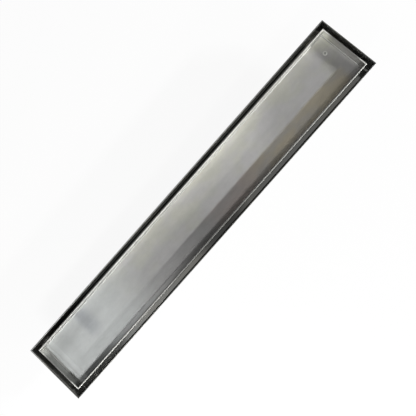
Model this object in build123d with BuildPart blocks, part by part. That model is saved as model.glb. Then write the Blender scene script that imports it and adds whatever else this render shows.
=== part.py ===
from build123d import *

import os

# Linear shower drain with a tile-in cover tray, in millimetres.
# A folded stainless trough stands on its round outlet spigot. A shallow tray that takes a cut tile
# sits flush with the trough's rim on bridge feet, and water runs down the slot all round the tray
# to a recessed outlet that holds a lift-out hair strainer.
# The origin is the middle of the spigot's lower end, X runs along the drain and Z points up.

# Sheet stock of the trough, the tray and the feet
SHEET = 1.5  # thickness
BEND_INSIDE = 1.5  # inside radius of every fold
EDGE_ROUND = 0.4  # rounding left on a rim by deburring

# Trough
CHANNEL_LENGTH = 600.0  # outside
CHANNEL_WIDTH = 93.0  # outside
TROUGH_DEPTH = 24.0  # rim down to the floor, inside

# Tile tray
WATER_SLOT = 7.0  # gap between the trough's wall and the tray's wall, all round
TILE_DEPTH = 12.0  # rim down to the tile bed, inside

# Bridge feet under the tray
FOOT_COUNT = 4
FOOT_LENGTH = 20.0  # along the drain
FOOT_END_INSET = 24.0  # end of the tray to the middle of the last foot
FOOT_SIDE_INSET = 12.0  # side of the tray to the outside of a leg

# Outlet
SPIGOT_DIAMETER = 50.0  # outside, a push fit for a waste pipe socket
SPIGOT_WALL = 1.5
SPIGOT_LENGTH = 30.0
SPIGOT_LEAD_IN = 0.8  # chamfer on the lower end
SEAT_LEDGE = 6.0  # width of the flat ring that carries the strainer
SEAT_DROP = 4.0  # trough floor down to that ring
SEAT_FLARE = 4.0  # how far the seat's sloping wall opens outwards

# Hair strainer
STRAINER_SHEET = 1.0
STRAINER_DEPTH = 14.0  # ledge down to the underside of the cup
STRAINER_TAPER = 2.0  # how much the cup's radius narrows towards its floor
STRAINER_CLEARANCE = 1.0  # around the cup's mouth and around its rim
HOLE_DIAMETER = 4.0
HOLE_PITCH = 7.0  # between rings of holes in the cup's floor
HOLES_IN_FIRST_RING = 6
SIDE_SLOTS = 10  # in one row round the cup's wall
SIDE_SLOT_WIDTH = 3.0
SIDE_SLOT_HEIGHT = 6.0

# Heights, from the spigot's lower end upwards
bend_outside = BEND_INSIDE + SHEET
ledge_top = SPIGOT_LENGTH + SHEET
trough_floor = ledge_top + SEAT_DROP
trough_underside = trough_floor - SHEET
rim_height = trough_floor + TROUGH_DEPTH
tile_bed = rim_height - TILE_DEPTH
tray_underside = tile_bed - SHEET

# Plan sizes that follow from those above
tray_length = CHANNEL_LENGTH - 2 * (SHEET + WATER_SLOT)
tray_width = CHANNEL_WIDTH - 2 * (SHEET + WATER_SLOT)
spigot_radius = SPIGOT_DIAMETER / 2
outlet_radius = spigot_radius - SPIGOT_WALL
ledge_radius = outlet_radius + SEAT_LEDGE
mouth_radius = ledge_radius + SEAT_FLARE
seat_edge_radius = mouth_radius + bend_outside

os.makedirs("parts", exist_ok=True)

# Trough: one folded sheet with welded corners and a seat pressed into its floor
with BuildPart() as trough:
    with BuildSketch(Plane.XY.offset(trough_underside)):
        Rectangle(CHANNEL_LENGTH, CHANNEL_WIDTH)
    extrude(amount=rim_height - trough_underside)
    fillet(trough.faces().sort_by(Axis.Z)[0].edges(), bend_outside)
    offset(amount=-SHEET, openings=trough.faces().sort_by(Axis.Z)[-1])
    fillet(trough.faces().sort_by(Axis.Z)[-1].edges(), EDGE_ROUND)
    with BuildSketch(Plane.XY.offset(trough_underside)):
        Circle(seat_edge_radius)
    extrude(amount=SHEET, mode=Mode.SUBTRACT)
    with BuildSketch(Plane.XZ):
        with BuildLine():
            FilletPolyline(
                (outlet_radius, ledge_top),
                (ledge_radius, ledge_top),
                (mouth_radius, trough_floor),
                (seat_edge_radius, trough_floor),
                radius=[BEND_INSIDE, bend_outside],
            )
            offset(amount=SHEET, side=Side.RIGHT)
        make_face()
    revolve(axis=Axis.Z)
trough.part.label = "channel_trough"
export_step(trough.part, "parts/channel_trough.step")

# Spigot: a tube butted against the underside of the seat's ledge
with BuildPart() as spigot:
    with BuildSketch():
        Circle(spigot_radius)
        Circle(outlet_radius, mode=Mode.SUBTRACT)
    extrude(amount=SPIGOT_LENGTH)
    lower_outer_edge = spigot.edges().group_by(Axis.Z)[0].sort_by(SortBy.RADIUS)[-1]
    chamfer(lower_outer_edge, SPIGOT_LEAD_IN)
spigot.part.label = "outlet_spigot"
export_step(spigot.part, "parts/outlet_spigot.step")

# Tile tray: one folded sheet with welded corners
with BuildPart() as tray:
    with BuildSketch(Plane.XY.offset(tray_underside)):
        Rectangle(tray_length, tray_width)
    extrude(amount=rim_height - tray_underside)
    fillet(tray.faces().sort_by(Axis.Z)[0].edges(), bend_outside)
    offset(amount=-SHEET, openings=tray.faces().sort_by(Axis.Z)[-1])
    fillet(tray.faces().sort_by(Axis.Z)[-1].edges(), EDGE_ROUND)
tray.part.label = "tile_tray"
export_step(tray.part, "parts/tile_tray.step")

# Bridge feet: folded strips whose legs run along the flow and stand on the trough's floor
foot_half_span = tray_width / 2 - FOOT_SIDE_INSET
last_foot = tray_length / 2 - FOOT_END_INSET
foot_spacing = 2 * last_foot / (FOOT_COUNT - 1)
for index in range(FOOT_COUNT):
    foot_start = index * foot_spacing - last_foot - FOOT_LENGTH / 2
    with BuildPart() as foot:
        with BuildSketch(Plane.YZ.offset(foot_start)):
            with BuildLine():
                FilletPolyline(
                    (-foot_half_span, trough_floor),
                    (-foot_half_span, tray_underside),
                    (foot_half_span, tray_underside),
                    (foot_half_span, trough_floor),
                    radius=bend_outside,
                )
                offset(amount=SHEET, side=Side.RIGHT)
            make_face()
        extrude(amount=FOOT_LENGTH)
    foot.part.label = f"tray_foot_{index + 1}"
    export_step(foot.part, f"parts/tray_foot_{index + 1}.step")

# Hair strainer: a pressed cup that hangs in the outlet by its rim
cup_mouth_radius = outlet_radius - STRAINER_CLEARANCE - STRAINER_SHEET
cup_floor_radius = cup_mouth_radius - STRAINER_TAPER
cup_floor = ledge_top - STRAINER_DEPTH + STRAINER_SHEET
strainer_rim = ledge_radius - BEND_INSIDE - STRAINER_CLEARANCE
hole_rings = int((cup_floor_radius - HOLE_DIAMETER) / HOLE_PITCH)
side_wall_middle = (cup_floor_radius + cup_mouth_radius + STRAINER_SHEET) / 2
with BuildPart() as strainer:
    with BuildSketch(Plane.XZ):
        with BuildLine():
            Polyline(
                (0, cup_floor),
                (cup_floor_radius, cup_floor),
                (cup_mouth_radius, ledge_top + STRAINER_SHEET),
                (strainer_rim, ledge_top + STRAINER_SHEET),
            )
            offset(amount=STRAINER_SHEET, side=Side.RIGHT, kind=Kind.INTERSECTION)
        make_face()
    revolve(axis=Axis.Z)
    with Locations((0, 0, cup_floor)):
        Hole(HOLE_DIAMETER / 2, depth=STRAINER_SHEET)
        for ring in range(1, hole_rings + 1):
            with PolarLocations(ring * HOLE_PITCH, ring * HOLES_IN_FIRST_RING):
                Hole(HOLE_DIAMETER / 2, depth=STRAINER_SHEET)
    with Locations((0, 0, (cup_floor + ledge_top) / 2)):
        with PolarLocations(side_wall_middle, SIDE_SLOTS):
            Box(STRAINER_TAPER + 2 * STRAINER_SHEET, SIDE_SLOT_WIDTH, SIDE_SLOT_HEIGHT, mode=Mode.SUBTRACT)
strainer.part.label = "hair_strainer"
export_step(strainer.part, "parts/hair_strainer.step")
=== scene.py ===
import math
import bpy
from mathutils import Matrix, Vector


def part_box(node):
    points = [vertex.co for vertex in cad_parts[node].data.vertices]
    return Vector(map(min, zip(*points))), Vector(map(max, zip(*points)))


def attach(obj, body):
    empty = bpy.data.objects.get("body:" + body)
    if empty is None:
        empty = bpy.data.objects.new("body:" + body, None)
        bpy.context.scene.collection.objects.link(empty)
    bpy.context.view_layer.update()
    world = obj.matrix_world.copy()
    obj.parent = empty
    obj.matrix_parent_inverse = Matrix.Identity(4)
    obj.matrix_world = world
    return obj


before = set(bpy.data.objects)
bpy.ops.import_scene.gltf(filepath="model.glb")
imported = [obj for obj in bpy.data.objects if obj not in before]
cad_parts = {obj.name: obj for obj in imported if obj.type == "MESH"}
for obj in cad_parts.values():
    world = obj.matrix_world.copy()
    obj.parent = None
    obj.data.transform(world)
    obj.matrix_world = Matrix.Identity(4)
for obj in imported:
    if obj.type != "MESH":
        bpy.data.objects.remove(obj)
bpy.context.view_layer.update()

from types import SimpleNamespace

import bmesh
import bpy
from bpy.props import FloatProperty, FloatVectorProperty, IntProperty, PointerProperty
from bpy.types import Operator, Panel, PropertyGroup
from mathutils import Matrix, Vector

bl_info = {
    "name": "Linear Shower Drain",
    "version": (1, 0, 0),
    "blender": (4, 5, 0),
    "location": "View3D > Sidebar > Drain",
    "description": "Finishes a stainless linear drain with its tile-in tray and sets it on a white stage",
    "category": "Object",
}

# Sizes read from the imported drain, in metres
TROUGH_LOW, TROUGH_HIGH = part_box("channel_trough")
TRAY_LOW, TRAY_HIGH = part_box("tile_tray")
SPIGOT_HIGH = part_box("outlet_spigot")[1]
RIM = TRAY_HIGH.z
FEET = [name for name in sorted(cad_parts) if name.startswith("tray_foot_")]
BODY = "root"

# The sheet that the trough and the tray are folded from
SHEET = 0.0015  # thickness
BEND = 0.0015  # inside radius of the folds
TILE_BED = TRAY_LOW.z + SHEET
LOW_FOLD = TRAY_LOW.x + SHEET + BEND  # where the bed turns up into the tray's end walls
HIGH_FOLD = TRAY_HIGH.x - SHEET - BEND

# Tints of the tile bed, as shares of the steel's own colour
LILAC = Vector((0.995, 0.985, 1.02))
STRAW = Vector((1.00, 1.00, 0.955))
COOL = Vector((0.97, 1.00, 1.035))
BLUISH = Vector((0.95, 0.985, 1.06))
MAUVE = Vector((1.10, 1.00, 0.99))
BROWN = Vector((1.11, 1.03, 0.88))

# Colours that heat leaves on the outlet's tube and weld
TUBE_STRAW = (0.45, 0.37, 0.24)
WELD_STRAW = (0.46, 0.36, 0.22)
WELD_BLUE = (0.26, 0.28, 0.36)

# Shape of the weld bead, as shares of its half width
BEAD_SHIFT = 0.35  # its middle, out from the spigot and down from the seat
BEAD_RIPPLE = 0.10  # rise of a ripple
BEAD_SWELL = 0.05  # rise of a slow swelling
BEAD_SWELLS = 5  # swellings in one turn

# Fineness of the added pieces
BEAD_SIDES = 12  # round the bead's section
STEPS_PER_RIPPLE = 4  # along the bead
MARK_SIDES = 48  # round the spot weld's mark

# The studio's white, its floor paint, and two angles above the floor
WHITE = (1.0, 1.0, 1.0, 1.0)
FLOOR_PAINT = (0.85, 0.85, 0.85, 1.0)
HORIZON_TOP = math.radians(8)  # white up to here
CEILING_EDGE = math.radians(35)  # dim from here


class DrainFinish(PropertyGroup):
    """Colours and surface finish of the drain's sheet, tube and welds."""

    tray_colour: FloatVectorProperty(
        name="Tray Steel", description="Colour of the brushed tray", subtype="COLOR",
        default=(0.56, 0.56, 0.535), min=0.0, max=1.0,
    )
    trough_colour: FloatVectorProperty(
        name="Trough Steel", description="Colour of the trough's sheet", subtype="COLOR",
        default=(0.50, 0.50, 0.475), min=0.0, max=1.0,
    )
    foot_colour: FloatVectorProperty(
        name="Feet Steel", description="Colour of the mill-finished feet", subtype="COLOR",
        default=(0.52, 0.52, 0.51), min=0.0, max=1.0,
    )
    tube_colour: FloatVectorProperty(
        name="Spigot Steel", description="Colour of the drawn outlet tube", subtype="COLOR",
        default=(0.42, 0.42, 0.41), min=0.0, max=1.0,
    )
    strainer_colour: FloatVectorProperty(
        name="Strainer Steel", description="Colour of the pressed strainer", subtype="COLOR",
        default=(0.56, 0.56, 0.55), min=0.0, max=1.0,
    )
    weld_colour: FloatVectorProperty(
        name="Weld Metal", description="Colour of the weld bead's metal", subtype="COLOR",
        default=(0.46, 0.45, 0.43), min=0.0, max=1.0,
    )
    tray_roughness: FloatProperty(
        name="Tray Roughness", description="How softly the tray's brushed face reflects", subtype="FACTOR",
        default=0.66, min=0.0, max=1.0,
    )
    wall_roughness: FloatProperty(
        name="Wall Roughness", description="How softly the tray's folded walls reflect", subtype="FACTOR",
        default=0.24, min=0.0, max=1.0,
    )
    trough_roughness: FloatProperty(
        name="Trough Roughness", description="How softly the trough's sheet reflects", subtype="FACTOR",
        default=0.25, min=0.0, max=1.0,
    )
    brush_width: FloatProperty(
        name="Brush Line Width", description="Width of one brush line", unit="LENGTH",
        default=0.0006, min=0.0001, max=0.01,
    )
    brush_length: FloatProperty(
        name="Brush Line Length", description="Length of one brush line", unit="LENGTH",
        default=0.12, min=0.005, max=1.0,
    )
    brush_depth: FloatProperty(
        name="Brush Line Depth", description="Depth of the brush lines on the tile bed", unit="LENGTH",
        default=0.00025, min=0.0, max=0.001,
    )


class DrainPaintedLightAndMarks(PropertyGroup):
    """How strongly painted light and shade, a darker bluish patch and random blotches mark the tile bed."""

    # Painted sheen that lightens a stretch of the far half.
    painted_sheen: FloatProperty(
        name="Polish", description="How much lighter the polished stretch of the far half is",
        subtype="FACTOR", default=0.14, min=0.0, max=1.0,
    )
    # Painted shade that darkens the near band, where a lamp's shadow lies.
    near_band_shade_and_tint: FloatProperty(
        name="Stain", description="How much darker the stain along the near side is",
        subtype="FACTOR", default=0.26, min=0.0, max=1.0,
    )
    # Painted shade that darkens a stretch before the high end.
    painted_high_shade: FloatProperty(
        name="Dulling", description="How much darker the dulled stretch before the high end is",
        subtype="FACTOR", default=0.20, min=0.0, max=1.0,
    )
    # Painted shade that darkens stretches at the middle and the low end.
    painted_dimming: FloatProperty(
        name="Dimming", description="How much darker the dim stretches at the middle and low end are",
        subtype="FACTOR", default=0.12, min=0.0, max=1.0,
    )
    # Darkens a patch near the low end, which the tint also makes bluish.
    bluish_dark_patch: FloatProperty(
        name="Smudge", description="How much darker the bluish smudge near the low end is",
        subtype="FACTOR", default=0.24, min=0.0, max=1.0,
    )
    blotches: FloatProperty(
        name="Blotches", description="How uneven the bed's lightness is from place to place",
        subtype="FACTOR", default=0.28, min=0.0, max=1.0,
    )


class DrainWelds(PropertyGroup):
    """Sizes of the weld bead under the trough and of the spot weld's mark in the tray."""

    bead_width: FloatProperty(
        name="Bead Width", description="Width of the bead round the spigot", unit="LENGTH",
        default=0.0034, min=0.001, max=0.01,
    )
    bead_ripples: IntProperty(
        name="Bead Ripples", description="Ripples in one turn of the bead", default=78, min=8, max=200,
    )
    mark_diameter: FloatProperty(
        name="Mark Diameter", description="Diameter of the spot weld's mark", unit="LENGTH",
        default=0.0068, min=0.001, max=0.02,
    )
    mark_height: FloatProperty(
        name="Mark Height", description="Height of the mark's lip above the tile bed", unit="LENGTH",
        default=0.00045, min=0.00005, max=0.002,
    )
    mark_inset: FloatProperty(
        name="Mark Inset", description="Tray's end to the middle of the mark", unit="LENGTH",
        default=0.0173, min=0.005, max=0.2,
    )
    mark_offset: FloatProperty(
        name="Mark Offset", description="Drain's middle line to the middle of the mark", unit="LENGTH",
        default=0.0152, min=-0.03, max=0.03,
    )


class DrainStage(PropertyGroup):
    """Floor, light and camera."""

    floor_size: FloatProperty(
        name="Floor Size", description="Side of the square floor", unit="LENGTH",
        default=12.0, min=1.0, max=50.0,
    )
    floor_glow: FloatProperty(
        name="Floor Glow", description="Share of plain white in the floor as it is seen and mirrored",
        subtype="FACTOR", default=0.92, min=0.0, max=1.0,
    )
    sky_level: FloatProperty(
        name="Overhead Level", description="Brightness of the studio's ceiling",
        default=0.20, min=0.0, max=2.0,
    )
    lamp_distance: FloatProperty(
        name="Lamp Distance", description="Drain's middle to the key lamp and the side lamp", unit="LENGTH",
        default=2.5, min=0.5, max=10.0,
    )
    key_level: FloatProperty(
        name="Key Level", description="Light of the low key lamp on a face turned to it",
        default=3.4, min=0.0, max=20.0,
    )
    key_heading: FloatProperty(
        name="Key Heading", description="Angle from the drain's length to the key lamp", subtype="ANGLE",
        default=math.radians(-38.0),
    )
    key_elevation: FloatProperty(
        name="Key Elevation", description="Angle of the key lamp above the rim", subtype="ANGLE",
        default=math.radians(16.0),
    )
    key_size: FloatVectorProperty(
        name="Key Size", description="Width and height of the key lamp", size=2, unit="LENGTH",
        default=(0.80, 0.10),
    )
    side_level: FloatProperty(
        name="Side Level", description="Light of the long side lamp on a face turned to it",
        default=0.7, min=0.0, max=20.0,
    )
    side_heading: FloatProperty(
        name="Side Heading", description="Angle from the drain's length to the side lamp", subtype="ANGLE",
        default=math.radians(-80.0),
    )
    side_elevation: FloatProperty(
        name="Side Elevation", description="Angle of the side lamp above the rim", subtype="ANGLE",
        default=math.radians(19.0),
    )
    side_size: FloatVectorProperty(
        name="Side Size", description="Width and height of the side lamp", size=2, unit="LENGTH",
        default=(1.00, 0.15),
    )
    end_level: FloatProperty(
        name="End Level", description="Brightness of the panel over the low end",
        default=37.0, min=0.0, max=90.0,
    )
    end_place: FloatVectorProperty(
        name="End Place", description="Where the panel over the low end hangs", subtype="TRANSLATION",
        unit="LENGTH", default=(-0.50, -0.375, 0.56),
    )
    end_size: FloatVectorProperty(
        name="End Size", description="Length and width of that panel", size=2, unit="LENGTH",
        default=(0.40, 0.10),
    )
    camera_place: FloatVectorProperty(
        name="Camera Place", description="Where the camera stands", subtype="TRANSLATION", unit="LENGTH",
        default=(0.0141, -0.0465, 0.5152),
    )
    camera_aim: FloatVectorProperty(
        name="Camera Aim", description="Point on the rim's level under the lens axis", subtype="TRANSLATION",
        unit="LENGTH", default=(0.0082, -0.0066, RIM),
    )
    camera_turn: FloatProperty(
        name="Camera Turn", description="Angle from the drain's length to the picture's upward direction",
        subtype="ANGLE", default=math.radians(41.66),
    )
    camera_lens: FloatProperty(
        name="Camera Lens", description="Focal length in millimetres on a 36 mm sensor",
        default=29.42, min=5.0, max=200.0,
    )


class Value:
    """A socket on its way through a node tree; arithmetic on it adds Math nodes."""

    def __init__(self, finish, socket):
        self.finish = finish
        self.socket = socket

    def math(self, operation, *terms):
        return self.finish.node("ShaderNodeMath", {"operation": operation}, dict(enumerate(terms)))

    def __add__(self, other):
        return self.math("ADD", self, other)

    def __radd__(self, other):
        return self.math("ADD", other, self)

    def __sub__(self, other):
        return self.math("SUBTRACT", self, other)

    def __rsub__(self, other):
        return self.math("SUBTRACT", other, self)

    def __mul__(self, other):
        return self.math("MULTIPLY", self, other)

    def __rmul__(self, other):
        return self.math("MULTIPLY", other, self)

    def __truediv__(self, other):
        return self.math("DIVIDE", self, other)

    def __abs__(self):
        return self.math("ABSOLUTE", self)

    def sign(self):
        return self.math("SIGN", self)

    def cosine(self):
        return self.math("COSINE", self)

    def larger(self, other):
        return self.math("MAXIMUM", self, other)

    def power(self, exponent):
        return self.math("POWER", self, exponent)

    def distance(self, other):
        """How far the point (self, other) is from the origin."""
        return (self * self + other * other).power(0.5)

    def angle_to(self, other):
        """The angle of the point (other, self) round the origin."""
        return self.math("ARCTAN2", self, other)

    def step(self, low, high):
        """0 below low, 1 above high and an even S curve between them."""
        return self.finish.node(
            "ShaderNodeMapRange", {"interpolation_type": "SMOOTHSTEP"},
            {"Value": self, "From Min": low, "From Max": high},
        )

    def fall(self, low, high):
        """1 below low, 0 above high and an even S curve between them."""
        return 1.0 - self.step(low, high)

    def between(self, start, full, fade, end):
        """Rises from 0 at start to 1 at full, and falls from 1 at fade to 0 at end."""
        return self.step(start, full) * self.fall(fade, end)

    def ramp(self, low, high, start, end):
        """Goes from start to end in a straight line as the value goes from low to high."""
        return self.finish.node(
            "ShaderNodeMapRange", {},
            {"Value": self, "From Min": low, "From Max": high, "To Min": start, "To Max": end},
        )


class Finish:
    """A node tree that is written as Python expressions."""

    def __init__(self, tree):
        self.tree = tree
        self.tree.nodes.clear()

    def node(self, kind, settings, sockets, output=0):
        """Adds a node: its settings first, then the values or links of its sockets."""
        made = self.tree.nodes.new(kind)
        for name, setting in settings.items():
            setattr(made, name, setting)
        for name, given in sockets.items():
            if isinstance(given, Value):
                self.tree.links.new(given.socket, made.inputs[name])
            else:
                made.inputs[name].default_value = given
        return Value(self, made.outputs[output]) if made.outputs else None

    def split(self, vector):
        """The three numbers of a vector."""
        first = self.node("ShaderNodeSeparateXYZ", {}, {"Vector": vector})
        return [Value(self, socket) for socket in first.socket.node.outputs]

    def place(self):
        """x, y and z in the drain's own frame, in metres."""
        return self.split(self.node("ShaderNodeTexCoord", {}, {}, "Object"))

    def noise(self, x, y, z, detail=2.0, roughness=0.5):
        """Smooth noise from about 0 to 1 whose features are one unit wide."""
        point = self.node("ShaderNodeCombineXYZ", {}, {"X": x, "Y": y, "Z": z})
        sockets = {"Vector": point, "Scale": 1.0, "Detail": detail, "Roughness": roughness}
        return self.node("ShaderNodeTexNoise", {"noise_dimensions": "3D"}, sockets)

    def blend(self, share, first, second):
        """The first colour at share 0 and the second at share 1."""
        sockets = {0: share, 6: opaque(first), 7: opaque(second)}
        return self.node("ShaderNodeMix", {"data_type": "RGBA"}, sockets, 2)

    def shaded(self, colour, level):
        """A colour made lighter or darker by a level, where 1 leaves it alone."""
        grey = self.node("ShaderNodeCombineColor", {}, {"Red": level, "Green": level, "Blue": level})
        settings = {"data_type": "RGBA", "blend_type": "MULTIPLY"}
        return self.node("ShaderNodeMix", settings, {0: 1.0, 6: opaque(colour), 7: grey}, 2)

    def bump(self, height, distance, under=None):
        """Relief whose height of 1 stands that distance proud, in metres, laid over what is under it."""
        sockets = {"Height": height, "Strength": 1.0, "Distance": distance}
        if under is not None:
            sockets["Normal"] = under
        return self.node("ShaderNodeBump", {}, sockets)

    def steel(self, colour, roughness, metallic, normal):
        """Closes the tree with a steel surface."""
        sockets = {"Base Color": opaque(colour), "Roughness": roughness}
        sockets.update({"Metallic": metallic, "Normal": normal})
        surface = self.node("ShaderNodeBsdfPrincipled", {}, sockets)
        self.node("ShaderNodeOutputMaterial", {}, {"Surface": surface})


def opaque(colour):
    """A plain colour with its alpha; a linked colour as it is."""
    return colour if isinstance(colour, Value) else (*colour, 1.0)[:4]


def new_material(name):
    material = bpy.data.materials.new(name)
    material.use_nodes = True
    return material, Finish(material.node_tree)


def cover(node_name, material):
    """Gives a CAD node one material in all its slots."""
    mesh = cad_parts[node_name].data
    if not mesh.materials:
        mesh.materials.append(material)
    for index in range(len(mesh.materials)):
        mesh.materials[index] = material


def add_piece(name, mesh, material):
    """Links a finished mesh as a piece of the drain."""
    piece = bpy.data.objects.new(name, mesh)
    bpy.context.scene.collection.objects.link(piece)
    mesh.materials.append(material)
    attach(piece, BODY)


def spin_round(bm, steps):
    """Spins all that the mesh holds once round the upright axis and closes the seam."""
    bmesh.ops.spin(
        bm, geom=bm.verts[:] + bm.edges[:], cent=(0, 0, 0), axis=(0, 0, 1),
        angle=2 * math.pi, steps=steps, use_merge=True,
    )
    bmesh.ops.remove_doubles(bm, verts=bm.verts, dist=1e-7)


def smooth_mesh(name, bm):
    """Turns the faces outwards, shades them smoothly and keeps them as a mesh."""
    bmesh.ops.recalc_face_normals(bm, faces=bm.faces)
    for face in bm.faces:
        face.smooth = True
    mesh = bpy.data.meshes.new(name)
    bm.to_mesh(mesh)
    bm.free()
    return mesh


def brush_lines(finish, look, end_wall):
    """Fine and broad brush lines that run along the sheet and up its end walls, each from about 0 to 1."""
    x, y, z = finish.place()
    on_side = abs(x).fall(end_wall - 0.0004, end_wall - 0.0002)
    across = y + y.sign() * z * on_side
    fine = finish.noise(x / look.brush_length, across / look.brush_width, 0.0, 3.0, 0.6)
    broad = finish.noise(x / (2.5 * look.brush_length), across / (9 * look.brush_width), 7.0)
    return fine, broad


def clouds(finish, size, seed):
    """Slow patches along and across the sheet, from about 0 to 1."""
    x, y, z = finish.place()
    return finish.noise(x / size + seed, (y + z) / (0.5 * size), seed).step(0.3, 0.7)


def rim_of(z):
    """1 on the rounded upper edge of the trough and the tray, and 0 below it."""
    return z.step(RIM - 0.0006, RIM - 0.0001)


# Places on the bed, the walls and the rim are in metres from the drain's middle, x along it and y across it


def bluish_dark_patch(finish):
    """About 1 in the heart of the darker, bluish patch near the low end of the tile bed, and 0 away from it.
    """
    x, y, z = finish.place()
    uneven = finish.noise(x / 0.012, y / 0.012, 21.0).ramp(0.3, 0.7, 0.75, 1.1)
    return uneven * x.between(-0.2365, -0.2250, -0.2225, -0.2035) * y.step(-0.015, 0.009)


def bed_painted_light(finish, near_band):
    """How much painted light lightens the tile bed: it fills the cast shadows at its high end and by its low
    fold, paints a highlight along its high fold, and lightens its near band a little.
    """
    x, y, z = finish.place()
    far_part = x.step(0.250, 0.262) * (0.06 * (1.0 - near_band) + 0.12 * y.step(0.004, 0.020))
    high_end = x.step(0.262, 0.285) * (0.02 + 0.10 * y.step(0.0, 0.026))
    high_fold = 0.20 * x.step(HIGH_FOLD - 0.0055, HIGH_FOLD - 0.0010)
    low_fold = x.fall(LOW_FOLD + 0.0017, LOW_FOLD + 0.0045) * (0.60 - 0.30 * y.step(-0.016, 0.002))
    near_part = 0.05 * near_band * x.between(0.05, 0.12, 0.23, 0.26)
    return far_part + high_end + high_fold + low_fold + near_part


def bed_painted_light_and_shade(finish, wear):
    """Lightness of the tile bed: painted light on its far half and its ends, painted shade along its near
    band, before its high end and at its middle and low end, a darker bluish patch near the low end, and
    random blotches.
    """
    x, y, z = finish.place()
    near_band = y.fall(-0.0135, -0.0105)
    # Painted sheen on a stretch of the far half.
    sheen_zone = y.step(0.002, 0.013) * x.between(-0.06, 0.02, 0.12, 0.19)
    # Painted shade on the near band, where a lamp's shadow lies.
    near_shade_strip = near_band * x.between(-0.14, -0.02, 0.03, 0.20)
    # Painted shade on the rest of the bed before the high end.
    high_shade_zone = (1.0 - near_band) * x.between(0.10, 0.18, 0.262, 0.285)
    # Painted shade at the middle, deeper on the near half, and at the far side of the low end.
    middle_shade_zone = x.between(-0.20, -0.12, 0.03, 0.13)
    middle_shade_zone = middle_shade_zone + 1.1 * x.between(-0.18, -0.10, -0.03, 0.06) * y.fall(0.004, 0.018)
    corner_shade_zone = 0.8 * x.fall(-0.265, -0.240) * y.step(0.0, 0.02)
    blotches = finish.noise(x / 0.018, y / 0.012, 17.0, 5.0, 0.7)
    level = (1.0 + wear.painted_sheen * sheen_zone + bed_painted_light(finish, near_band)) * (1.0 - wear.near_band_shade_and_tint * near_shade_strip)
    level = level * (1.0 - wear.painted_high_shade * high_shade_zone) * (1.0 - wear.bluish_dark_patch * bluish_dark_patch(finish))
    level = level * (1.0 - wear.painted_dimming * (middle_shade_zone + corner_shade_zone))
    return level * (1.0 + wear.blotches * (blotches - 0.5))


def bed_tint(finish, steel):
    """Colour of the tile bed: cool at the low end, cloudy along it, mauve to brown along its near side."""
    x, y, z = finish.place()
    hue = (finish.noise(x / 0.035 + 5.0, y / 0.022, z / 0.022) + 6.0 * y).step(0.40, 0.75)
    tint = finish.blend(hue, LILAC * steel, STRAW * steel)
    tint = finish.blend(x.fall(-0.20, -0.08), tint, COOL * steel)
    tint = finish.blend(bluish_dark_patch(finish), tint, BLUISH * steel)
    patch = finish.noise(x / 0.05 + 40.0, y / 0.02, 3.0).step(0.3, 0.6)
    near_shade_strip = y.fall(-0.014, -0.009) * x.between(-0.02, 0.03, 0.26, 0.28)
    near_band_shade_and_tint = finish.blend(x.step(0.05, 0.13), MAUVE * steel, BROWN * steel)
    return finish.blend(near_shade_strip * (0.35 + 0.65 * patch), tint, near_band_shade_and_tint)


def tray_parts(finish):
    """Masks that are 1 on one part of the tray and 0 on the others."""
    x, y, z = finish.place()
    wall_foot = z.fall(TILE_BED + 0.0010, TILE_BED + 0.0020)
    end_bend = abs(x).step(HIGH_FOLD - 0.0007, HIGH_FOLD + 0.0001)
    far_wall = y.step(0.02, 0.03)
    return SimpleNamespace(
        bed=z.fall(TILE_BED + 0.00001, TILE_BED + 0.00006),
        unbrushed=y.fall(-0.0305, -0.0285) * x.fall(-0.12, 0.0),
        rim=rim_of(z),
        near_wall=y.fall(-0.03, -0.02),
        far_wall=far_wall,
        low_wall=x.fall(TRAY_LOW.x + SHEET, LOW_FOLD),
        high_wall=x.step(HIGH_FOLD, TRAY_HIGH.x - SHEET),
        far_fold=far_wall * wall_foot,
        end_fold=end_bend * wall_foot * (1.0 - far_wall),
    )


def tray_wall_level(finish, part):
    """Lightness of the tray's walls and rim, painted with light and shade: a sheen along the far wall, a
    lighter high end wall, a darker low end wall, a darker far fold, and a rim whose lightness changes along
    its length.
    """
    x, y, z = finish.place()
    # Painted sheen along the far wall, lighter or darker along its length.
    painted_far_sheen = 0.75 + 0.55 * x.step(-0.17, -0.12) + 0.15 * x.step(-0.04, 0.04) - 0.35 * x.step(0.08, 0.14)
    painted_far_sheen = painted_far_sheen - 0.30 * x.step(0.21, 0.24) + 0.70 * x.step(0.25, 0.265)
    # Painted shade on the low end wall, deepest on its near side, and painted light on the high end wall.
    low_shade = 0.02 + 0.14 * y.fall(-0.025, 0.02)
    ends = 0.42 * part.high_wall - low_shade * part.low_wall
    walls = 0.55 * (1.0 + part.far_wall * painted_far_sheen) + ends * (1.0 - part.rim)
    # Painted light and shade on the rim, changing along its length.
    painted_rim_light = 0.30 - 0.45 * x.step(0.10, 0.20) + 0.42 * x.step(TRAY_HIGH.x - 0.0020, TRAY_HIGH.x - 0.0010)
    painted_near_rim_light = 0.38 * x.fall(-0.22, -0.13) + 0.46 * x.step(0.10, 0.20) + 0.12 * x.step(0.21, 0.26)
    painted_near_rim_light = painted_near_rim_light - 0.30 * x.between(-0.12, -0.06, 0.02, 0.10)
    # Painted shade in the far fold.
    return walls * (1.0 - 0.4 * part.far_fold) + part.rim * (painted_rim_light + part.near_wall * painted_near_rim_light)


def tray_roughness(finish, look, part, fine):
    """Roughness of the tray: high on its brushed bed, low on its walls and between on its rim and folds."""
    dull = clouds(finish, 0.07, 11.0)
    walls = look.wall_roughness + part.rim * (0.12 + 0.25 * (part.near_wall + part.far_wall))
    walls = walls + 0.22 * part.far_fold + 0.30 * part.end_fold
    brushed = part.bed * (1.0 - 0.8 * part.unbrushed)
    uneven = part.bed * (0.08 * (fine - 0.5) + 0.06 * (dull - 0.5))
    return walls + brushed * (look.tray_roughness - walls) + uneven


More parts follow.
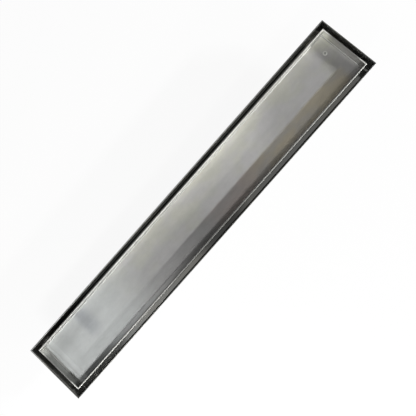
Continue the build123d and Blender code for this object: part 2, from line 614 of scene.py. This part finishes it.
def tray_relief(finish, look, part, fine):
    """Slow waves and brush lines on the tile bed, which rises a little towards the low fold."""
    x, y, z = finish.place()
    clear_of_wall = y.fall(TRAY_HIGH.y - 0.0055, TRAY_HIGH.y - 0.0035)
    waves = finish.noise(x / 0.06, y / 0.04, z / 0.04, 1.0, 0.4)
    relief = finish.bump((waves - 0.5) * part.bed * clear_of_wall, 0.0004)
    relief = finish.bump(x.ramp(LOW_FOLD, LOW_FOLD + 0.0120, 1.0, 0.0), 0.0013, relief)
    lines = (fine - 0.5) * part.bed * (1.0 - 0.85 * part.unbrushed) * (0.2 + 0.8 * clear_of_wall)
    return finish.bump(lines, look.brush_depth, relief)


def tray_finish(look, wear):
    """Brushed sheet: a cloudy bed with painted light and shade, a strip with fewer brush lines by its near
    fold, painted lighter and darker along its length, smooth walls and a rougher rim.
    """
    material, finish = new_material("brushed_tray_steel")
    x, y, z = finish.place()
    part = tray_parts(finish)
    fine, broad = brush_lines(finish, look, TRAY_HIGH.x - SHEET)
    steel = Vector(look.tray_colour)
    walls = tray_wall_level(finish, part)
    level = walls + part.bed * (bed_painted_light_and_shade(finish, wear) - walls)
    level = level * (0.97 + 0.06 * broad + 0.06 * (fine - 0.5))
    # Painted light and shade on the near fold's strip: darker at the very low end, lighter from there to the
    # middle and a little darker past the middle.
    near_fold_light_and_shade = 1.15 * x.step(-0.25, -0.19) - 0.30 - 0.95 * x.step(-0.12, 0.0)
    level = level * (1.0 + near_fold_light_and_shade * part.unbrushed * part.bed)
    colour = finish.shaded(finish.blend(part.bed, steel, bed_tint(finish, steel)), level)
    haze = part.bed * x.fall(LOW_FOLD + 0.0040, LOW_FOLD + 0.0145) * y.fall(-0.014, -0.008)
    roughness = tray_roughness(finish, look, part, fine)
    finish.steel(colour, roughness, 0.9 - 0.65 * haze, tray_relief(finish, look, part, fine))
    return material


def trough_finish(look):
    """The same sheet: smooth inside and rougher on its rim, with painted shade on its rim, its far outer
    edge, deep round the outlet, deep at the low end and on the far side, painted light and shade along its
    far rim and painted light in the end slots.
    """
    material, finish = new_material("brushed_trough_steel")
    x, y, z = finish.place()
    fine, broad = brush_lines(finish, look, TROUGH_HIGH.x - SHEET)
    steel = Vector(look.trough_colour)
    cold = steel + Vector((-0.01, 0.0, 0.01))
    warm = steel + Vector((0.01, 0.0, -0.016))
    inside = abs(x).fall(TROUGH_HIGH.x - 0.0012, TROUGH_HIGH.x - 0.0008)
    inside = inside * abs(y).fall(TROUGH_HIGH.y - 0.0012, TROUGH_HIGH.y - 0.0008)
    inside = inside * z.step(TROUGH_LOW.z + 0.0042, TROUGH_LOW.z + 0.0050)
    rim = rim_of(z)
    far_rim = rim * y.step(0.0, 0.02)
    far_edge = y.step(TROUGH_HIGH.y - 0.0005, TROUGH_HIGH.y - 0.0001)
    deep = inside * (1.0 - rim)
    low_slot = x.fall(TRAY_LOW.x, TRAY_LOW.x + 0.0020)
    high_slot = x.step(TRAY_HIGH.x, TRAY_HIGH.x + 0.0020)
    end_slot = deep * abs(y).fall(TRAY_HIGH.y - 0.0050, TRAY_HIGH.y)
    outlet = x.distance(y).fall(0.042, 0.072) * (1.0 - 0.7 * y.step(-0.02, 0.0))
    level = (0.94 + 0.12 * broad + 0.08 * (fine - 0.5)) * (0.70 + 0.30 * rim) * (0.75 + 0.25 * inside)
    # Painted shade on the rim; the far rim is painted lighter for most of its length and darker towards the
    # high end.
    level = level * (1.0 - 0.6 * rim + far_rim * (0.25 - 0.40 * x.step(0.12, 0.25)))
    # Painted shade on the far outer edge and deep round the outlet.
    level = level * (1.0 - 0.7 * far_edge) * (1.0 - 0.6 * outlet * deep)
    # Painted shade deep at the low end, and deep on the far side of the low half.
    level = level * (1.0 - 0.35 * deep * x.fall(-0.24, -0.19) * (1.0 - low_slot))
    level = level * (1.0 - 0.45 * deep * x.fall(-0.15, -0.05) * y.step(0.0, 0.02))
    # Painted light in the end slots, more at the high end.
    level = level * (1.0 + end_slot * (1.5 * high_slot + 0.5 * low_slot))
    colour = finish.shaded(finish.blend(clouds(finish, 0.09, 23.0), cold, warm), level)
    roughness = look.trough_roughness - 0.12 * inside + 0.06 * (fine - 0.5) + 0.15 * rim
    roughness = roughness + 0.22 * deep * x.fall(-0.245, -0.215)
    metallic = 0.95 - 0.65 * far_rim - 0.12 * low_slot * (1.0 - rim)
    relief = finish.bump(finish.noise(x / 0.07, y / 0.05, z / 0.03, 1.0, 0.4), 0.0004)
    relief = finish.bump((fine - 0.5) * (1.0 - inside), 0.000008, relief)
    finish.steel(colour, roughness, metallic, relief)
    return material


def foot_finish(look):
    """Mill-finished strip: a faint rolled grain and patches."""
    material, finish = new_material("mill_finish_foot_steel")
    x, y, z = finish.place()
    grain = finish.noise(x / 0.0008, (y + z) / 0.02, 5.0, 3.0, 0.6)
    patch = clouds(finish, 0.03, 31.0)
    colour = finish.shaded(tuple(look.foot_colour), 0.9 + 0.1 * patch + 0.1 * grain)
    finish.steel(colour, 0.38 + 0.12 * grain, 0.9, finish.bump(grain, 0.00002))
    return material


def tube_finish(look):
    """Drawn tube: lines along the tube and a straw heat tint below the weld."""
    material, finish = new_material("drawn_tube_steel")
    x, y, z = finish.place()
    lines = finish.noise(y.angle_to(x) * SPIGOT_HIGH.x / 0.0007, z / 0.03, 2.0, 3.0, 0.6)
    patch = finish.noise(x / 0.02, y / 0.02, z / 0.02)
    heat = z.step(SPIGOT_HIGH.z - 0.008, SPIGOT_HIGH.z - 0.002) * (0.5 + 0.5 * patch)
    tinted = finish.blend(heat, tuple(look.tube_colour), TUBE_STRAW)
    colour = finish.shaded(tinted, 0.88 + 0.14 * lines + 0.1 * patch)
    finish.steel(colour, 0.28 + 0.14 * lines, 0.95, finish.bump(lines, 0.00002))
    return material


def strainer_finish(look):
    """Pressed strainer: fine lines round the cup from the press, and faint patches."""
    material, finish = new_material("pressed_strainer_steel")
    x, y, z = finish.place()
    rings = finish.noise(x.distance(y) / 0.0006, z / 0.0006, 4.0, 2.0, 0.6)
    patch = finish.noise(x / 0.012, y / 0.012, z / 0.012)
    colour = finish.shaded(tuple(look.strainer_colour), 0.9 + 0.1 * rings + 0.1 * patch)
    finish.steel(colour, 0.30 + 0.12 * rings, 0.95, finish.bump(rings, 0.00002))
    return material


def weld_finish(look, ripples):
    """Weld metal with straw and blue heat tints, lighter on its ripples."""
    material, finish = new_material("weld_bead_steel")
    x, y, z = finish.place()
    ripple = 0.5 + 0.5 * (y.angle_to(x) * float(ripples)).cosine()
    patch = finish.noise(x / 0.008, y / 0.008, z / 0.008)
    straw = finish.blend(patch.step(0.35, 0.6), tuple(look.weld_colour), WELD_STRAW)
    blue = finish.blend(patch.step(0.6, 0.8), straw, WELD_BLUE)
    colour = finish.shaded(blue, 0.8 + 0.2 * ripple)
    finish.steel(colour, 0.30 + 0.15 * patch, 0.9, finish.bump(patch, 0.00008))
    return material


def spot_mark_finish(look, middle, outer):
    """The tray's brushed steel, with a painted highlight that makes the mark's lip paler."""
    material, finish = new_material("spot_weld_steel")
    x, y, z = finish.place()
    fine = brush_lines(finish, look, TRAY_HIGH.x - SHEET)[0]
    reach = (x - middle.x).distance(y - middle.y) / outer
    patch = finish.noise(x / 0.002, y / 0.002, 9.0)
    # Painted highlight on the lip, with random patches.
    level = 0.95 + 0.5 * reach.between(0.35, 0.65, 0.85, 1.0) + 0.4 * (patch - 0.5)
    colour = finish.shaded(tuple(look.tray_colour), level)
    finish.steel(colour, look.tray_roughness + 0.10 * patch, 0.9, finish.bump(fine - 0.5, look.brush_depth))
    return material


class DRAIN_OT_finish_trough(Operator):
    """Gives the trough its brushed finish, smooth inside and dull on its rim."""

    bl_idname = "drain.finish_trough"
    bl_label = "Finish Trough"

    def execute(self, context):
        cover("channel_trough", trough_finish(context.scene.drain_finish))
        return {"FINISHED"}


class DRAIN_OT_finish_tray(Operator):
    """Gives the tile tray its brushed finish, with painted light and shade."""

    bl_idname = "drain.finish_tray"
    bl_label = "Finish Tray"

    def execute(self, context):
        cover("tile_tray", tray_finish(context.scene.drain_finish, context.scene.drain_wear))
        return {"FINISHED"}


class DRAIN_OT_finish_feet(Operator):
    """Gives the bridge feet under the tray their mill finish."""

    bl_idname = "drain.finish_feet"
    bl_label = "Finish Feet"

    def execute(self, context):
        material = foot_finish(context.scene.drain_finish)
        for name in FEET:
            cover(name, material)
        return {"FINISHED"}


class DRAIN_OT_finish_outlet(Operator):
    """Gives the outlet spigot and the hair strainer their finishes."""

    bl_idname = "drain.finish_outlet"
    bl_label = "Finish Outlet"

    def execute(self, context):
        look = context.scene.drain_finish
        cover("outlet_spigot", tube_finish(look))
        cover("hair_strainer", strainer_finish(look))
        return {"FINISHED"}


class DRAIN_OT_add_outlet_weld(Operator):
    """Lays a rippled weld bead in the corner between the spigot and the trough's seat."""

    bl_idname = "drain.add_outlet_weld"
    bl_label = "Add Outlet Weld"

    def execute(self, context):
        welds = context.scene.drain_welds
        half = welds.bead_width / 2
        shift = BEAD_SHIFT * half
        middle = Vector((SPIGOT_HIGH.x + shift, 0.0, SPIGOT_HIGH.z - shift))
        bm = bmesh.new()
        section = bmesh.ops.create_circle(bm, segments=BEAD_SIDES, radius=half)["verts"]
        upright = Matrix.Translation(middle) @ Matrix.Rotation(math.pi / 2, 4, "X")
        bmesh.ops.transform(bm, matrix=upright, verts=section)
        spin_round(bm, STEPS_PER_RIPPLE * welds.bead_ripples)
        for vert in bm.verts:
            turn = math.atan2(vert.co.y, vert.co.x)
            heart = Matrix.Rotation(turn, 3, "Z") @ middle
            ripple = BEAD_RIPPLE * math.cos(turn * welds.bead_ripples)
            swell = BEAD_SWELL * math.sin(turn * BEAD_SWELLS)
            vert.co = heart + (vert.co - heart) * (1.0 + ripple + swell)
        material = weld_finish(context.scene.drain_finish, welds.bead_ripples)
        add_piece("outlet_weld", smooth_mesh("outlet_weld", bm), material)
        return {"FINISHED"}


class DRAIN_OT_add_spot_weld_mark(Operator):
    """Sets the small ringed mark that a foot's spot weld leaves in the tile bed."""

    bl_idname = "drain.add_spot_weld_mark"
    bl_label = "Add Spot Weld Mark"

    def execute(self, context):
        welds = context.scene.drain_welds
        middle = Vector((TRAY_HIGH.x - welds.mark_inset, welds.mark_offset, TILE_BED))
        outer = welds.mark_diameter / 2
        # Shares of the mark's radius and of its lip's height, from its edge to its middle
        profile = [(1.0, -0.1), (0.86, 0.7), (0.70, 1.0), (0.52, 0.55), (0.0, 0.12)]
        bm = bmesh.new()
        corners = [bm.verts.new((share * outer, 0.0, rise * welds.mark_height)) for share, rise in profile]
        for pair in zip(corners, corners[1:]):
            bm.edges.new(pair)
        spin_round(bm, MARK_SIDES)
        bmesh.ops.translate(bm, vec=middle, verts=bm.verts)
        material = spot_mark_finish(context.scene.drain_finish, middle, outer)
        add_piece("spot_weld_mark", smooth_mesh("spot_weld_mark", bm), material)
        return {"FINISHED"}


def seen_by(finish, *rays):
    """1 for those kinds of ray, and 0 for all the others."""
    share = finish.node("ShaderNodeLightPath", {}, {}, rays[0])
    for ray in rays[1:]:
        share = share.larger(finish.node("ShaderNodeLightPath", {}, {}, ray))
    return share


def add_floor(stage):
    """A white floor that keeps a faint shadow and can be seen through from below."""
    bm = bmesh.new()
    bmesh.ops.create_grid(bm, x_segments=1, y_segments=1, size=stage.floor_size / 2)
    mesh = bpy.data.meshes.new("studio_floor")
    bm.to_mesh(mesh)
    bm.free()
    floor = bpy.data.objects.new("studio_floor", mesh)
    bpy.context.scene.collection.objects.link(floor)
    material, finish = new_material("white_floor")
    paint = finish.node("ShaderNodeBsdfDiffuse", {}, {"Color": FLOOR_PAINT})
    glow = finish.node("ShaderNodeEmission", {}, {"Color": WHITE, "Strength": 1.0})
    seen = seen_by(finish, "Is Camera Ray", "Is Glossy Ray", "Is Transmission Ray")
    face = finish.node("ShaderNodeMixShader", {}, {0: stage.floor_glow * seen, 1: paint, 2: glow})
    clear = finish.node("ShaderNodeBsdfTransparent", {}, {})
    below = finish.node("ShaderNodeNewGeometry", {}, {}, "Backfacing")
    both = finish.node("ShaderNodeMixShader", {}, {0: below, 1: face, 2: clear})
    finish.node("ShaderNodeOutputMaterial", {}, {"Surface": both})
    mesh.materials.append(material)


def add_world(stage):
    """A studio room: white at the horizon and to the camera, and a dim ceiling, lighter on the near side."""
    world = bpy.data.worlds.new("studio_room")
    world.use_nodes = True
    bpy.context.scene.world = world
    finish = Finish(world.node_tree)
    along, across, height = finish.split(finish.node("ShaderNodeTexCoord", {}, {}, "Generated"))
    ceiling = height.step(math.sin(HORIZON_TOP), math.sin(CEILING_EDGE))
    lengthwise = 0.12 + along.step(-0.47, -0.41) * along.ramp(-0.40, 0.0, 2.1, 0.88)
    overhead = stage.sky_level * across.ramp(-0.03, 0.15, 1.9, 0.15) * lengthwise
    dimmed = ceiling * (1.0 - seen_by(finish, "Is Camera Ray"))
    level = 1.0 + dimmed * (overhead - 1.0)
    light = finish.node("ShaderNodeBackground", {}, {"Color": WHITE, "Strength": level})
    finish.node("ShaderNodeOutputWorld", {}, {"Surface": light})


def add_lamp(name, placed, size, power):
    """A rectangular lamp of that power; its matrix places it and turns it."""
    lamp = bpy.data.lights.new(name, "AREA")
    lamp.shape = "RECTANGLE"
    lamp.size, lamp.size_y = size
    lamp.energy = power
    holder = bpy.data.objects.new(name, lamp)
    holder.matrix_world = placed
    bpy.context.scene.collection.objects.link(holder)


def direction_of(heading, elevation):
    """Unit vector at an angle round from the drain's length and an angle above the floor."""
    flat = math.cos(elevation)
    return Vector((math.cos(heading) * flat, math.sin(heading) * flat, math.sin(elevation)))


def add_window_lamp(name, reach, size, level):
    """An upright lamp that faces across the drain and gives a face turned to it that level of light."""
    place = Vector((0.0, 0.0, RIM)) + reach
    upright = Matrix.Rotation(math.pi / 2, 4, "X")
    facing = -reach.normalized().y
    power = level * math.pi * reach.length_squared / facing
    add_lamp(name, Matrix.Translation(place) @ upright, size, power)


def add_panel_lamp(name, place, size, level):
    """A ceiling panel of that brightness that faces straight down."""
    add_lamp(name, Matrix.Translation(place), size, level * math.pi * size[0] * size[1])


def add_camera(stage):
    """A camera that looks down on the drain, turned so that its length crosses the picture."""
    data = bpy.data.cameras.new("camera")
    data.lens = stage.camera_lens
    data.sensor_width = 36.0
    data.clip_start = 0.01
    place = Vector(stage.camera_place)
    forward = (Vector(stage.camera_aim) - place).normalized()
    upward = Vector((math.cos(stage.camera_turn), math.sin(stage.camera_turn), 0.0))
    right = forward.cross(upward).normalized()
    upward = right.cross(forward)
    camera = bpy.data.objects.new("camera", data)
    turned = Matrix((right, upward, -forward)).transposed().to_4x4()
    camera.matrix_world = Matrix.Translation(place) @ turned
    bpy.context.scene.collection.objects.link(camera)
    bpy.context.scene.camera = camera


class DRAIN_OT_set_stage(Operator):
    """Sets the floor, the room, the lamps and the camera."""

    bl_idname = "drain.set_stage"
    bl_label = "Set Stage"

    def execute(self, context):
        stage = context.scene.drain_stage
        context.scene.view_settings.view_transform = "Standard"
        add_floor(stage)
        add_world(stage)
        key_reach = stage.lamp_distance * direction_of(stage.key_heading, stage.key_elevation)
        add_window_lamp("key_lamp", key_reach, stage.key_size, stage.key_level)
        side_reach = stage.lamp_distance * direction_of(stage.side_heading, stage.side_elevation)
        add_window_lamp("side_lamp", side_reach, stage.side_size, stage.side_level)
        add_panel_lamp("end_lamp", stage.end_place, stage.end_size, stage.end_level)
        add_camera(stage)
        return {"FINISHED"}


class DRAIN_PT_panel(Panel):
    """Lists the steps that dress the drain and the values that they use."""

    bl_idname = "DRAIN_PT_panel"
    bl_label = "Linear Shower Drain"
    bl_space_type = "VIEW_3D"
    bl_region_type = "UI"
    bl_category = "Drain"

    def draw(self, context):
        layout = self.layout
        for step in STEPS:
            layout.operator(step.bl_idname)
        scene = context.scene
        for group in (scene.drain_finish, scene.drain_wear, scene.drain_welds, scene.drain_stage):
            box = layout.box()
            for name in group.__annotations__:
                box.prop(group, name)


STEPS = (
    DRAIN_OT_finish_trough,
    DRAIN_OT_finish_tray,
    DRAIN_OT_finish_feet,
    DRAIN_OT_finish_outlet,
    DRAIN_OT_add_outlet_weld,
    DRAIN_OT_add_spot_weld_mark,
    DRAIN_OT_set_stage,
)
CLASSES = (DrainFinish, DrainPaintedLightAndMarks, DrainWelds, DrainStage, *STEPS, DRAIN_PT_panel)


def register():
    for item in CLASSES:
        bpy.utils.register_class(item)
    bpy.types.Scene.drain_finish = PointerProperty(type=DrainFinish)
    bpy.types.Scene.drain_wear = PointerProperty(type=DrainPaintedLightAndMarks)
    bpy.types.Scene.drain_welds = PointerProperty(type=DrainWelds)
    bpy.types.Scene.drain_stage = PointerProperty(type=DrainStage)


def unregister():
    del bpy.types.Scene.drain_stage
    del bpy.types.Scene.drain_welds
    del bpy.types.Scene.drain_wear
    del bpy.types.Scene.drain_finish
    for item in reversed(CLASSES):
        bpy.utils.unregister_class(item)


def main():
    register()
    bpy.ops.drain.finish_trough()
    bpy.ops.drain.finish_tray()
    bpy.ops.drain.finish_feet()
    bpy.ops.drain.finish_outlet()
    bpy.ops.drain.add_outlet_weld()
    bpy.ops.drain.add_spot_weld_mark()
    bpy.ops.drain.set_stage()


if __name__ == "__main__":
    main()
